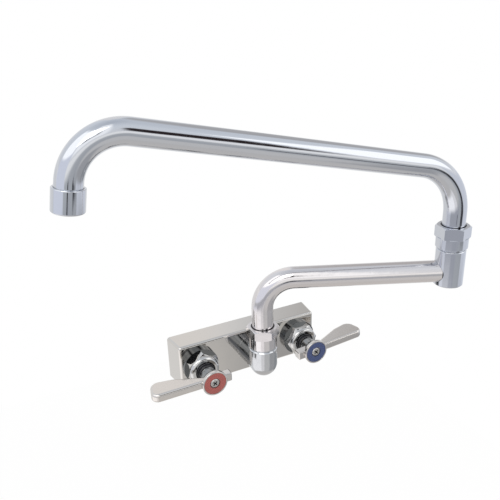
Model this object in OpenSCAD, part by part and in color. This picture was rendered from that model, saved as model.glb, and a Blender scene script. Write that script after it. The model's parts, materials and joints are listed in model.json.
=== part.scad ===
// Splash mount kitchen faucet: a flat cast body on the wall, two quarter-turn
// ceramic valves with paddle levers, and a swing spout with two swivel joints.
// Millimetres. X runs along the wall, -Y comes out of the wall, +Z is up.
// The origin is the centre of the body's back face.

/* [Body] */
// Width of the body at the wall
body_back_w = 144; // [138:0.5:156]
// Width of the body at its front face
body_front_w = 138.5; // [136:0.5:146]
// Height of the body
body_h = 42; // [38:0.5:50]
// Depth of the body from the wall to its front face
body_d = 23; // [22.5:0.5:28]
// Rounding of the body's edges
body_edge_r = 2.6; // [1.5:0.1:4]
// Distance between the hot and the cold valve axes
valve_spacing = 101.6; // [96:0.1:106]

/* [Inlets and waterways] */
// Wall radius of each inlet's pipe thread
inlet_r = 10; // [9:0.1:10.8]
// Depth of each inlet's pipe thread
inlet_depth = 11; // [9:0.5:11.5]
// Wall between the inlet and the cartridge chamber
seat_wall = 1.5; // [1.2:0.1:2]
// Radius of the water hole through the seat
seat_hole_r = 5; // [3:0.1:5.6]
// Radius of the cartridge chamber
chamber_r = 10.2; // [10:0.05:10.6]
// Height of the threaded boss on the body's front face
boss_h = 8; // [7:0.5:10]
// Wall of the threaded boss
boss_wall = 1.8; // [1.6:0.1:2]
// Height of the cross gallery between the chambers
gallery_h = 12; // [8:0.5:14]
// Depth of the cross gallery, along the valve axes
gallery_d = 7; // [4:0.5:7.5]
// Wall between the cross gallery and the front face
gallery_wall = 2; // [1.5:0.1:3]

/* [Outlet boss] */
// Distance of the spout axis from the wall
outlet_out = 50; // [46:0.5:58]
// Height of the boss's level leg over the valve axes
outlet_rise = 1.5; // [0:0.5:3]
// Outer radius of the outlet boss
outlet_r = 12.4; // [12.2:0.1:14]
// Outer radius of the level leg
neck_r = 12; // [9:0.1:12.1]
// Bore radius of the level leg
neck_bore_r = 6.5; // [4:0.1:7]
// Height of the boss's shoulder over the valve axes
outlet_top = 17; // [14:0.5:22]

/* [Swivel joints] */
// Bore radius that each ferrule turns in
swivel_bore_r = 8.6; // [8.4:0.05:8.9]
// Wall of each threaded spigot round the swivel bore
spigot_wall = 2.6; // [2.2:0.1:2.7]
// Height of each threaded spigot over its shoulder
spigot_h = 10; // [8:0.5:12]
// Corner radius of each hexagonal nut
nut_corner_r = 14.7; // [14.2:0.1:16]
// Outer radius of the base nut's skirt
base_skirt_r = 12.3; // [12.2:0.05:12.6]
// Height of the base nut's skirt over its shoulder
base_skirt_h = 12; // [9:0.5:14]
// Height of the base nut's hexagon
base_hex_h = 9; // [8:0.5:14]
// Outer radius of the joint nut's skirt
joint_skirt_r = 13.3; // [12.2:0.1:13.5]
// Height of the joint nut's skirt over its shoulder
joint_skirt_h = 9.5; // [8:0.5:14]
// Height of the joint nut's hexagon
joint_hex_h = 11; // [8:0.5:14]
// Height of the ferrules' flanges
flange_t = 1.8; // [1.2:0.1:2.4]
// Height of the bushes' flanges
bush_flange_t = 2; // [1.2:0.1:2.6]
// Length of each ferrule in its swivel bore
ferrule_l = 15; // [12:0.5:16]

/* [Spout tubes] */
// Outer radius of both spout tubes
tube_r = 9.5; // [9.4:0.05:9.6]
// Wall of both spout tubes
tube_wall = 1.25; // [1.1:0.05:1.6]

/* [First arm] */
// Turn of the first arm about the outlet, from the X axis
first_turn = -24.3; // [-90:0.1:0]
// Height of the first arm's level run over the valve axes
first_run_z = 83; // [76:0.5:100]
// Bend radius of the first arm
first_bend_r = 27.5; // [24:0.5:34]
// Distance from the outlet axis to the joint axis
first_reach = 160; // [120:1:220]
// Outer radius of the joint socket
socket_r = 12.35; // [12.2:0.05:13]
// Depth of the joint socket below the tube's axis
socket_below = 11.5; // [11:0.5:14]
// Height of the joint socket's shoulder over the tube's axis
socket_above = 21; // [18:0.5:28]

/* [Second arm] */
// Turn of the second arm about the joint, from the X axis
second_turn = 172.7; // [90:0.1:200]
// Rise of the second arm's run towards its tip
second_rise = 11.7; // [0:0.1:20]
// Height of the first corner of the second arm over the valve axes
second_corner_z = 171; // [168:1:220]
// Bend radius at the second arm's first corner
second_bend_r = 44; // [32:0.5:48]
// Distance from the joint axis to the tip's corner
second_reach = 292; // [220:1:340]
// Bend radius at the tip
tip_bend_r = 35; // [28:0.5:40]
// Turn of the tube at the tip's corner
tip_turn = 92.4; // [80:0.1:100]

/* [Aerator] */
// Outer radius of the aerator housing
aerator_r = 11.2; // [10.9:0.1:12.5]
// Length of the aerator housing
aerator_l = 16.4; // [14:0.2:22]
// Distance from the end of the tip's bend to the housing
aerator_gap = 2.6; // [1:0.2:8]
// Length of tube inside the housing
aerator_grip = 7.4; // [5:0.2:9]

/* [Valves] */
// Corner radius of the bonnet nut's hexagon
bonnet_corner_r = 15.8; // [15.5:0.1:17.5]
// Radius of the bonnet nut's collar
bonnet_face_r = 16.4; // [15.6:0.1:18]
// Radius of the opening in the bonnet nut's front
bonnet_open_r = 9.3; // [9:0.1:10]
// Height of the bonnet nut's domed front over its hexagon
bonnet_dome_h = 3; // [2:0.1:4]
// Radius of the cavity that holds the ceramic discs
disc_cavity_r = 7.8; // [7.4:0.1:8]
// Thickness of the seat seal
seat_seal_t = 1.7; // [1.4:0.1:2.2]
// Thickness of the fixed ceramic disc
fixed_disc_t = 2.6; // [2:0.1:3]
// Thickness of the moving ceramic disc
moving_disc_t = 2.4; // [2.2:0.1:2.8]
// Outer radius of the cartridge's front sleeve
sleeve_r = 8.2; // [7:0.1:8.4]
// Length of the cartridge's front sleeve past its flange
sleeve_l = 8; // [6:0.5:10]
// Radius of the stem
stem_r = 5.58; // [5:0.02:6]
// Length of the stem's splined end
spline_l = 8; // [6:0.5:9]

/* [Handles] */
// Length of the handle's hub, from its back to its front rim
hub_l = 17.1; // [16:0.1:22]
// Radius of the hub behind the flare
hub_r = 6.9; // [6.4:0.1:8]
// Radius of the hub's front disc
hub_disc_r = 11.4; // [11:0.1:13]
// Reach of the lever from the valve axis
lever_reach = 54; // [46:0.5:70]
// Width of the paddle near its tip
paddle_w = 19.5; // [17:0.5:24]
// Thickness of the lever
lever_t = 8; // [5:0.5:9]
// Reach of the short tail from the valve axis
tail_reach = 17; // [14:0.5:22]
// Width of the tail along the valve axis
tail_w = 8; // [6:0.5:9]
// Rest tilt of the cold lever, raised at its tip
cold_tilt = 4; // [0:1:10]
// Outer radius of the coloured index ring
index_r = 10; // [8:0.1:10.2]
// Radius of the handle screw's head
screw_head_r = 4.2; // [3.6:0.1:5]

/* [Hidden] */
$fn = 96;
hull_fn = 32;
ring_fn = 24;
hole_fn = 16;
hot = -1;
cold = 1;
// Turns in degrees
half_turn = 180;
hot_nut_turn = 30;
cold_nut_turn = 0;
base_nut_turn = 33.7;
joint_nut_turn = 43.6;

// Extra length that carries a cut past a face
overrun = 1;
// Radial clearance between a shaft and the bore it turns in
running_gap = 0.07;
// Clearance between threaded or brazed pieces
joint_gap = 0.05;
// Clearance between flat faces that slide on each other
face_gap = 0.05;
// Bevel on machined edges
bevel = 0.8;
// Height of a nut's corner bevel as a share of its depth
hex_rise_share = 0.6;

// Depths from the wall along a valve axis
chamber_floor = inlet_depth + seat_wall;
boss_top = body_d + boss_h;
boss_r = chamber_r + boss_wall;
// Depth of the boss's root inside the body
root_depth = 2;

// The cartridge's rim over the chamber floor
cartridge_lift = 0.7;
disc_start = chamber_floor + seat_seal_t;
fixed_disc_end = disc_start + fixed_disc_t;
moving_disc_start = fixed_disc_end + face_gap;
moving_disc_end = moving_disc_start + moving_disc_t;
// Water space over the moving disc
disc_headroom = 3.3;
cavity_top = moving_disc_end + disc_headroom;
drive_slot_depth = 0.9;
drive_w = 4.6;
drive_slack = 0.2;
drive_r = disc_cavity_r - bevel / 2;
disc_r = disc_cavity_r - running_gap;
disc_hole_r = 1.6;
disc_hole_out = 4.2;
seal_r = disc_cavity_r - bevel / 4;
seal_hole_r = disc_hole_out + disc_hole_r + bevel / 4;
window_w = 7;
window_h = 3;
// Water gap between the cartridge's lower barrel and the chamber
barrel_gap = 1;
barrel_r = chamber_r - 2 * joint_gap;
cartridge_flange_t = 1.6;
cartridge_flange_r = boss_r - bevel / 2;
flange_top = boss_top + cartridge_flange_t;
sleeve_end = flange_top + sleeve_l;
// Narrower front end of the sleeve
sleeve_tip_l = 2.6;
sleeve_step = 0.9;
sleeve_tip_r = sleeve_r - sleeve_step;
sleeve_tip_start = sleeve_end - sleeve_tip_l;
stem_bore_r = stem_r + running_gap;
// Section radii of the O-rings, and the width their grooves add
barrel_ring_t = 0.6;
stem_ring_t = 0.5;
swivel_ring_t = 0.8;
groove_slack = 0.15;
// Depths of the O-rings behind the boss's front
barrel_ring_inset = 3.5;
stem_ring_inset = 4;
stem_ring_pitch = 3.5;
barrel_ring_at = boss_top - barrel_ring_inset;
stem_ring_at = boss_top - stem_ring_inset;

// Bonnet nut
bonnet_start = body_d + face_gap;
// Length of the round collar behind the hexagon
bonnet_washer_t = 4.5;
bonnet_bore_r = boss_r + joint_gap;
bonnet_shoulder = flange_top + face_gap;
// Wall between the nut's inner shoulder and its dome
bonnet_shoulder_t = 1.85;
bonnet_hex_end = bonnet_shoulder + bonnet_shoulder_t;
bonnet_front = bonnet_hex_end + bonnet_dome_h;
hex_flat_share = cos(30);

// Handle
hub_gap = 0.8;
hub_start = sleeve_end + hub_gap;
hub_front = hub_start + hub_l;
hub_rim_t = 2.9;
hub_neck_l = 7.6;
index_t = 1.35;
index_slack = 0.1;
// Depth of the recess that holds the index ring
index_recess = 1.55;
index_floor = hub_front - index_recess;
spline_end = hub_start + spline_l;
spline_teeth = 16;
spline_r = 4.4;
spline_depth = 0.5;
spline_gap = 0.1;
screw_r = 2;
// Depth of the screw's seat under the ring, and the ends of its hole and shank round the sleeve's end
screw_seat_drop = 1;
screw_hole_drop = 3;
screw_tip_lift = 1;
screw_seat = index_floor - screw_seat_drop;
screw_hole_start = sleeve_end - screw_hole_drop;
screw_end = sleeve_end + screw_tip_lift;
screw_head_slack = 0.25;
screw_head_drop = 0.15;
cross_l = 4.6;
cross_w = 1.1;
cross_depth = 1.5;
// Distance of the lever's front edge behind the hub's front rim
lever_inset = 2.5;
lever_front = hub_front - lever_inset;
lever_root_w = 5.5;
lever_root_x = 4;
tip_front_r = 6;
tip_back_r = 8;
tip_back_inset = 1.3;
shoulder_share = 0.64;
shoulder_drop = 1.8;

// Outlet, swivel nuts and ferrules
spigot_r = swivel_bore_r + spigot_wall;
nut_bore_r = spigot_r + joint_gap;
nut_gap = 1.5;
bush_lip = 0.85;
bush_r = nut_bore_r - bush_lip;
bush_inner_r = tube_r + running_gap;
bush_drop = 0.8;
ferrule_r = swivel_bore_r - running_gap;
ferrule_bore_r = 6.2;
ferrule_flange_r = nut_bore_r - bevel / 2;
ferrule_grip = 7;
ferrule_ring_inset = 3.5;
tube_bore_r = tube_r - tube_wall;
// What a bend takes off each side of the wall, and how far a straight run laps over it
bend_thinning = 0.06;
bend_lap = 0.6;
// Depth of the outlet bore below the level leg's axis
outlet_sump = 6;
outlet_floor = outlet_rise - outlet_sump;
base_shoulder = outlet_top;
base_tube_start = base_shoulder + spigot_h + face_gap + flange_t;

// First arm, in its own plane: x along the arm
joint_shoulder = first_run_z + socket_above;
joint_tube_start = joint_shoulder + spigot_h + face_gap + flange_t;
first_bend_z = first_run_z - first_bend_r;
socket_floor_t = 3.5;

// Second arm, in its own plane: x along the arm
run_angle = second_rise;
tip_angle = second_rise - tip_turn;
second_sweep = 90 - run_angle;
second_setback = second_bend_r * tan(second_sweep / 2);
tip_setback = tip_bend_r * tan(tip_turn / 2);
second_start = [0, 0, joint_tube_start];
second_bend_start = [0, 0, second_corner_z - second_setback];
second_corner = [0, 0, second_corner_z];
run_start = second_corner + second_setback * heading(run_angle);
tip_corner = second_corner + second_reach / cos(run_angle) * heading(run_angle);
tip_bend_start = tip_corner - tip_setback * heading(run_angle);
tip_start = tip_corner + tip_setback * heading(tip_angle);
aerator_start = tip_corner + (tip_setback + aerator_gap) * heading(tip_angle);

// Aerator, along the tip from the housing's top rim
aerator_bore_r = tube_r + joint_gap;
aerator_lip_t = 0.9;
aerator_lip = 0.75;
washer_t = 1.4;
washer_start = aerator_grip + face_gap;
washer_hole_r = 6.5;
screen_t = 0.6;
screen_slack = 0.05;
screen_hole_r = 0.85;
screen_pitch = 2.5;
screen_rings = 3;
insert_hole_r = 1;
insert_pitch = 3;
insert_rings = 2;

// Unit vector in an arm's plane, at an angle over the level
function heading(angle) = [cos(angle), 0, sin(angle)];

// Points of a star with a tooth at every other point
function star(tip, root, teeth) = [
    for (i = [0:2 * teeth - 1])
        (i % 2 == 0 ? tip : root) * [cos(180 * i / teeth), sin(180 * i / teeth)]
];

// Centres of a hexagonal pattern of holes, ring by ring
function hex_pattern(rings, pitch) = [
    for (a = [-rings:rings])
        for (b = [-rings:rings])
            if (abs(a + b) <= rings) pitch * [a + b / 2, b * cos(30)]
];

// Round piece about the z axis, from radius and height pairs
module turned(points) {
    rotate_extrude() polygon(points);
}

module ring2d(outer, inner) {
    difference() {
        circle(outer);
        circle(inner);
    }
}

module ring(outer, inner, from, to) {
    translate([0, 0, from]) linear_extrude(to - from) ring2d(outer, inner);
}

// O-ring about the z axis, at a height, with its outside at a radius
module o_ring(outer, section, at) {
    translate([0, 0, at]) rotate_extrude() translate([outer - section, 0]) circle(section, $fn = ring_fn);
}

// Groove for an O-ring in the outside of a shaft
module ring_groove(outer, section, at) {
    half = section + groove_slack;
    ring(outer + overrun, outer - 2 * section - joint_gap, at - half, at + half);
}

// Straight tube in an arm's plane, from a point along an angle, with laps over the bends
module tube_run(from, angle, length, lap_before, lap_after) {
    translate(from - lap_before * heading(angle)) rotate([0, 90 - angle, 0])
        linear_extrude(length + lap_before + lap_after) ring2d(tube_r, tube_bore_r);
}

// Tube bend in an arm's plane that turns down from an angle by a sweep
module tube_bend(from, angle, sweep, radius) {
    translate(from + radius * heading(angle - 90))
        rotate([90, 0, 0]) rotate([0, 0, angle + 90 - sweep])
            rotate_extrude(angle = sweep) translate([radius, 0])
                ring2d(tube_r - bend_thinning, tube_bore_r + bend_thinning);
}

// Hexagonal prism with its corners bevelled at the top, and at the bottom if asked
module bevelled_hex(corner_r, from, to, bottom) {
    cut = corner_r - corner_r * hex_flat_share;
    rise = hex_rise_share * cut;
    intersection() {
        translate([0, 0, from]) cylinder(r = corner_r, h = to - from, $fn = 6);
        turned([
            [0, from],
            [bottom ? corner_r - cut : corner_r, from],
            [corner_r, bottom ? from + rise : from],
            [corner_r, to - rise],
            [corner_r - cut, to],
            [0, to]
        ]);
    }
}

// Moves a piece built along +z, the distance from the wall, to a valve axis
module on_valve(side) {
    translate([side * valve_spacing / 2, 0, 0]) rotate([90, 0, 0]) children();
}

module on_outlet() {
    translate([0, -outlet_out, 0]) children();
}

module in_first_arm() {
    on_outlet() rotate([0, 0, first_turn]) children();
}

module on_joint() {
    in_first_arm() translate([first_reach, 0, 0]) children();
}

module in_second_arm() {
    on_outlet()
        translate([first_reach * cos(first_turn), first_reach * sin(first_turn), 0])
            rotate([0, 0, second_turn]) children();
}

module on_tip() {
    in_second_arm() translate(aerator_start) rotate([0, 90 - tip_angle, 0]) children();
}

// Casting outside: a tapered block with rounded edges
module body_block() {
    rise = body_h / 2 - body_edge_r;
    back_x = body_back_w / 2 - body_edge_r;
    front_x = body_front_w / 2 - body_edge_r;
    difference() {
        hull() {
            for (x = [-1, 1]) {
                for (z = [-1, 1]) {
                    translate([x * back_x, 0, z * rise]) sphere(body_edge_r, $fn = hull_fn);
                    translate([x * front_x, body_edge_r - body_d, z * rise])
                        sphere(body_edge_r, $fn = hull_fn);
                }
            }
        }
        translate([-body_back_w, 0, -body_h]) cube([2 * body_back_w, 2 * body_edge_r, 2 * body_h]);
    }
}

// Outlet boss: a round-bottomed cup with a threaded spigot
module outlet_cup() {
    translate([0, 0, outlet_rise]) rotate_extrude() intersection() {
        circle(outlet_r);
        translate([0, -outlet_r]) square([outlet_r, outlet_r]);
    }
    turned([
        [0, outlet_rise],
        [outlet_r, outlet_rise],
        [outlet_r, outlet_top - bevel],
        [outlet_r - bevel, outlet_top],
        [spigot_r, outlet_top],
        [spigot_r, outlet_top + spigot_h],
        [0, outlet_top + spigot_h]
    ]);
}

module valve_body() {
    neck_start = body_d - root_depth;
    gallery_start = body_d - gallery_wall - gallery_d;
    color("silver") difference() {
        union() {
            body_block();
            on_outlet() outlet_cup();
            translate([0, -neck_start, outlet_rise])
                rotate([90, 0, 0]) cylinder(r = neck_r, h = outlet_out - neck_start);
            for (side = [hot, cold]) {
                on_valve(side) translate([0, 0, neck_start]) cylinder(r = boss_r, h = boss_top - neck_start);
            }
        }
        for (side = [hot, cold]) {
            on_valve(side) {
                translate([0, 0, -overrun]) cylinder(r = inlet_r, h = inlet_depth + overrun);
                cylinder(r = seat_hole_r, h = chamber_floor + overrun);
                translate([0, 0, chamber_floor]) cylinder(r = chamber_r, h = boss_top);
            }
        }
        translate([-valve_spacing / 2, -gallery_start - gallery_d, -gallery_h / 2])
            cube([valve_spacing, gallery_d, gallery_h]);
        translate([0, -gallery_start - gallery_d / 2, outlet_rise])
            rotate([90, 0, 0]) cylinder(r = neck_bore_r, h = outlet_out - gallery_start - gallery_d / 2);
        on_outlet() translate([0, 0, outlet_floor])
            cylinder(r = swivel_bore_r, h = outlet_top + spigot_h - outlet_floor + overrun);
    }
}

// Hexagonal bonnet nut with a round collar behind and a domed front
module bonnet_nut(side, turn) {
    hex_start = bonnet_start + bonnet_washer_t;
    dome_r = bonnet_corner_r * hex_flat_share - bonnet_dome_h;
    color("gainsboro") on_valve(side) difference() {
        union() {
            translate([0, 0, bonnet_start]) cylinder(r = bonnet_face_r, h = bonnet_washer_t);
            rotate([0, 0, turn]) bevelled_hex(bonnet_corner_r, hex_start, bonnet_hex_end, false);
            rotate_extrude() {
                translate([0, hex_start]) square([dome_r, bonnet_front - hex_start]);
                translate([dome_r, bonnet_hex_end]) intersection() {
                    circle(bonnet_dome_h);
                    square(bonnet_dome_h);
                }
            }
        }
        translate([0, 0, body_d - overrun])
            cylinder(r = bonnet_bore_r, h = bonnet_shoulder - body_d + overrun);
        cylinder(r = bonnet_open_r, h = bonnet_front + overrun);
    }
}

module cartridge(side) {
    low = chamber_floor + cartridge_lift;
    color("dimgray") on_valve(side) difference() {
        turned([
            [0, low],
            [barrel_r - barrel_gap, low],
            [barrel_r - barrel_gap, cavity_top],
            [barrel_r, cavity_top + barrel_gap],
            [barrel_r, boss_top],
            [cartridge_flange_r, boss_top],
            [cartridge_flange_r, flange_top],
            [sleeve_r, flange_top],
            [sleeve_r, sleeve_tip_start - bevel / 2],
            [sleeve_r - bevel / 2, sleeve_tip_start],
            [sleeve_tip_r, sleeve_tip_start],
            [sleeve_tip_r, sleeve_end - bevel],
            [sleeve_tip_r - bevel, sleeve_end],
            [0, sleeve_end]
        ]);
        cylinder(r = disc_cavity_r, h = cavity_top);
        cylinder(r = stem_bore_r, h = sleeve_end + overrun);
        ring_groove(barrel_r, barrel_ring_t, barrel_ring_at);
        translate([-chamber_r, -window_w / 2, cavity_top - window_h])
            cube([2 * chamber_r, window_w, window_h]);
    }
}

module cartridge_ring(side) {
    color("black") on_valve(side) o_ring(barrel_r, barrel_ring_t, barrel_ring_at);
}

module seat_seal(side) {
    color("black") on_valve(side) ring(seal_r, seal_hole_r, chamber_floor, disc_start);
}

// Ceramic disc with two water holes, in line with an angle
module ceramic_disc(from, to, angle) {
    difference() {
        translate([0, 0, from]) cylinder(r = disc_r, h = to - from);
        for (end = [0, half_turn]) {
            rotate([0, 0, angle + end]) translate([disc_hole_out, 0, from - overrun])
                cylinder(r = disc_hole_r, h = to - from + 2 * overrun);
        }
    }
}

module fixed_disc(side) {
    color("white") on_valve(side) ceramic_disc(disc_start, fixed_disc_end, 0);
}

module moving_disc(side) {
    slot_floor = moving_disc_end - drive_slot_depth;
    color("white") on_valve(side) difference() {
        ceramic_disc(moving_disc_start, moving_disc_end, 90);
        translate([-chamber_r, -drive_w / 2 - joint_gap, slot_floor])
            cube([2 * chamber_r, drive_w + 2 * joint_gap, drive_slot_depth + overrun]);
    }
}

// Stem: a drive bar in the disc's slot, a shank with two grooves and a splined end
module stem(side) {
    bar_start = moving_disc_end - drive_slot_depth + joint_gap;
    bar_end = cavity_top - drive_slack;
    shank_start = (moving_disc_end + cavity_top) / 2;
    color("darkgoldenrod") on_valve(side) difference() {
        union() {
            intersection() {
                translate([-drive_r, -drive_w / 2, bar_start])
                    cube([2 * drive_r, drive_w, bar_end - bar_start]);
                cylinder(r = drive_r, h = boss_top);
            }
            translate([0, 0, shank_start]) cylinder(r = stem_r, h = sleeve_end + hub_gap / 2 - shank_start);
            translate([0, 0, sleeve_end])
                linear_extrude(spline_end - spline_gap - sleeve_end)
                    polygon(star(spline_r, spline_r - spline_depth, spline_teeth));
        }
        for (i = [0, 1]) {
            ring_groove(stem_r, stem_ring_t, stem_ring_at + i * stem_ring_pitch);
        }
        translate([0, 0, screw_hole_start]) cylinder(r = screw_r + joint_gap, h = hub_l);
    }
}

module stem_rings(side) {
    color("black") on_valve(side) {
        for (i = [0, 1]) {
            o_ring(stem_r, stem_ring_t, stem_ring_at + i * stem_ring_pitch);
        }
    }
}

// Flat disc of the paddle, in the lever's thickness, with bevelled rims
module paddle_disc(radius, x, depth) {
    translate([x, 0, depth]) rotate([90, 0, 0]) {
        cylinder(r = radius, h = lever_t - 2 * bevel, center = true, $fn = hull_fn);
        cylinder(r = radius - bevel, h = lever_t, center = true, $fn = hull_fn);
    }
}

// Broad paddle towards +x with a straight front edge
module paddle() {
    back = lever_front - paddle_w;
    hull() {
        paddle_disc(lever_root_w / 2, lever_root_x, lever_front - lever_root_w / 2);
        paddle_disc(tip_back_r, lever_reach * shoulder_share, back + shoulder_drop + tip_back_r);
        paddle_disc(tip_back_r, lever_reach - tip_back_inset - tip_back_r, back + tip_back_r);
        paddle_disc(tip_front_r, lever_reach - tip_front_r, lever_front - tip_front_r);
    }
}

// Short square tail towards -x
module tail() {
    size = [tail_reach, lever_t, tail_w];
    hull() {
        for (axis = [0:2]) {
            trim = [for (i = [0:2]) i == axis ? 0 : 2 * bevel];
            translate([-tail_reach / 2, 0, lever_front - tail_w / 2]) cube(size - trim, center = true);
        }
    }
}

module handle(side, tilt) {
    neck_end = hub_start + hub_neck_l;
    rim_start = hub_front - hub_rim_t;
    color("silver") on_valve(side) rotate([0, 0, tilt]) difference() {
        union() {
            turned([
                [0, hub_start],
                [hub_r - bevel, hub_start],
                [hub_r, hub_start + bevel],
                [hub_r, neck_end],
                [hub_disc_r, rim_start],
                [hub_disc_r, hub_front - bevel / 2],
                [hub_disc_r - bevel / 2, hub_front],
                [0, hub_front]
            ]);
            mirror([side == hot ? 1 : 0, 0, 0]) {
                paddle();
                tail();
            }
        }
        translate([0, 0, hub_start - overrun])
            rotate([0, 0, -tilt]) linear_extrude(spline_end - hub_start + overrun)
                polygon(star(spline_r + spline_gap, spline_r - spline_depth + spline_gap, spline_teeth));
        cylinder(r = screw_r + joint_gap, h = hub_front);
        translate([0, 0, screw_seat]) cylinder(r = screw_head_r + screw_head_slack, h = hub_l);
        translate([0, 0, index_floor]) cylinder(r = index_r + index_slack, h = hub_l);
    }
}

module index_ring(side, tint) {
    inner = screw_head_r + 2 * screw_head_slack;
    color(tint) on_valve(side) ring(index_r, inner, index_floor, index_floor + index_t);
}

// Pan head screw with a cross recess
module handle_screw(side) {
    head_top = hub_front - screw_head_drop;
    color("lightgray") on_valve(side) difference() {
        turned([
            [0, screw_end],
            [screw_r, screw_end],
            [screw_r, screw_seat],
            [screw_head_r, screw_seat],
            [screw_head_r, head_top - bevel],
            [screw_head_r - bevel, head_top],
            [0, head_top]
        ]);
        for (turn = [45, 135]) {
            rotate([0, 0, turn]) translate([-cross_l / 2, -cross_w / 2, head_top - cross_depth])
                cube([cross_l, cross_w, cross_depth + overrun]);
        }
    }
}

// Swivel nut over a spigot: round skirt, hexagon and an inner shoulder for the bush
module swivel_nut(shoulder, skirt_r, skirt_h, hex_h, turn) {
    low = shoulder + nut_gap;
    seat = shoulder + spigot_h + flange_t + bush_flange_t + 3 * face_gap;
    hex_start = shoulder + skirt_h;
    top = hex_start + hex_h;
    color("gainsboro") difference() {
        union() {
            turned([
                [0, low],
                [skirt_r - bevel / 2, low],
                [skirt_r, low + bevel / 2],
                [skirt_r, hex_start + overrun],
                [0, hex_start + overrun]
            ]);
            rotate([0, 0, turn]) bevelled_hex(nut_corner_r, hex_start, top, true);
        }
        cylinder(r = nut_bore_r, h = seat);
        cylinder(r = bush_r + joint_gap, h = top + overrun);
    }
}

// Flanged plastic bush that guides the tube in the nut
module swivel_bush(shoulder, nut_h) {
    low = shoulder + spigot_h + flange_t + 2 * face_gap;
    top = shoulder + nut_h - bush_drop;
    color("black") {
        ring(nut_bore_r - joint_gap, bush_inner_r, low, low + bush_flange_t);
        ring(bush_r, bush_inner_r, low + bush_flange_t, top);
    }
}

// Ferrule at a tube's foot: turns in the swivel bore, with two O-ring grooves
module swivel_ferrule(shoulder) {
    seat = shoulder + spigot_h + face_gap;
    low = seat - ferrule_l;
    color("darkgoldenrod") difference() {
        turned([
            [ferrule_bore_r, low],
            [ferrule_r - bevel, low],
            [ferrule_r, low + bevel],
            [ferrule_r, seat],
            [ferrule_flange_r, seat],
            [ferrule_flange_r, seat + flange_t],
            [tube_bore_r - joint_gap, seat + flange_t],
            [tube_bore_r - joint_gap, seat + flange_t + ferrule_grip],
            [ferrule_bore_r, seat + flange_t + ferrule_grip]
        ]);
        for (at = [low + ferrule_ring_inset, seat - ferrule_ring_inset]) {
            ring_groove(ferrule_r, swivel_ring_t, at);
        }
    }
}

module swivel_rings(shoulder) {
    seat = shoulder + spigot_h + face_gap;
    color("black") {
        for (at = [seat - ferrule_l + ferrule_ring_inset, seat - ferrule_ring_inset]) {
            o_ring(ferrule_r, swivel_ring_t, at);
        }
    }
}

module base_nut() {
    on_outlet() swivel_nut(base_shoulder, base_skirt_r, base_skirt_h, base_hex_h, base_nut_turn);
}

module base_bush() {
    on_outlet() swivel_bush(base_shoulder, base_skirt_h + base_hex_h);
}

module base_ferrule() {
    on_outlet() swivel_ferrule(base_shoulder);
}

module base_rings() {
    on_outlet() swivel_rings(base_shoulder);
}

// First spout tube, from the base ferrule to the wall of the joint socket
module first_arm_tube() {
    color("gainsboro") in_first_arm() difference() {
        union() {
            tube_run([0, 0, base_tube_start], 90, first_bend_z - base_tube_start, 0, bend_lap);
            tube_bend([0, 0, first_bend_z], 90, 90, first_bend_r);
            tube_run([first_bend_r, 0, first_run_z], 0, first_reach - first_bend_r, bend_lap, 0);
        }
        translate([first_reach, 0, first_run_z - 2 * tube_r])
            cylinder(r = swivel_bore_r + joint_gap, h = 4 * tube_r);
    }
}

module joint_socket() {
    low = first_run_z - socket_below;
    color("gainsboro") on_joint() difference() {
        turned([
            [0, low],
            [socket_r - bevel, low],
            [socket_r, low + bevel],
            [socket_r, joint_shoulder - bevel],
            [socket_r - bevel, joint_shoulder],
            [spigot_r, joint_shoulder],
            [spigot_r, joint_shoulder + spigot_h],
            [0, joint_shoulder + spigot_h]
        ]);
        translate([0, 0, low + socket_floor_t]) cylinder(r = swivel_bore_r, h = joint_shoulder);
        translate([0, 0, first_run_z]) rotate([0, -90, 0])
            cylinder(r = tube_r + joint_gap, h = 2 * socket_r);
    }
}

module joint_nut() {
    on_joint() swivel_nut(joint_shoulder, joint_skirt_r, joint_skirt_h, joint_hex_h, joint_nut_turn);
}

module joint_bush() {
    on_joint() swivel_bush(joint_shoulder, joint_skirt_h + joint_hex_h);
}

module joint_ferrule() {
    on_joint() swivel_ferrule(joint_shoulder);
}

module joint_rings() {
    on_joint() swivel_rings(joint_shoulder);
}

// Second spout tube, with a bend over the joint and one at the tip
module second_arm_tube() {
    run_l = norm(tip_bend_start - run_start);
    color("lightsteelblue") in_second_arm() {
        tube_run(second_start, 90, second_bend_start[2] - second_start[2], 0, bend_lap);
        tube_bend(second_bend_start, 90, second_sweep, second_bend_r);
        tube_run(run_start, run_angle, run_l, bend_lap, bend_lap);
        tube_bend(tip_bend_start, run_angle, tip_turn, tip_bend_r);
        tube_run(tip_start, tip_angle, aerator_gap + aerator_grip, bend_lap, 0);
    }
}

module aerator_housing() {
    lip_start = aerator_l - aerator_lip_t;
    color("lightsteelblue") on_tip() difference() {
        turned([
            [0, 0],
            [aerator_r - bevel / 2, 0],
            [aerator_r, bevel / 2],
            [aerator_r, aerator_l - bevel],
            [aerator_r - bevel, aerator_l],
            [0, aerator_l]
        ]);
        translate([0, 0, -overrun]) cylinder(r = aerator_bore_r, h = lip_start + overrun);
        cylinder(r = aerator_bore_r - aerator_lip, h = aerator_l + overrun);
    }
}

module aerator_washer() {
    color("black") on_tip() ring(tube_r, washer_hole_r, washer_start, washer_start + washer_t);
}

// Flow straightener with a hexagonal pattern of water holes
module aerator_insert() {
    from = washer_start + washer_t + face_gap;
    to = aerator_l - aerator_lip_t - screen_t;
    color("white") on_tip() difference() {
        translate([0, 0, from]) cylinder(r = tube_r, h = to - from);
        for (at = hex_pattern(insert_rings, insert_pitch)) {
            translate([at[0], at[1], from - overrun])
                cylinder(r = insert_hole_r, h = aerator_l, $fn = hole_fn);
        }
    }
}

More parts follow.
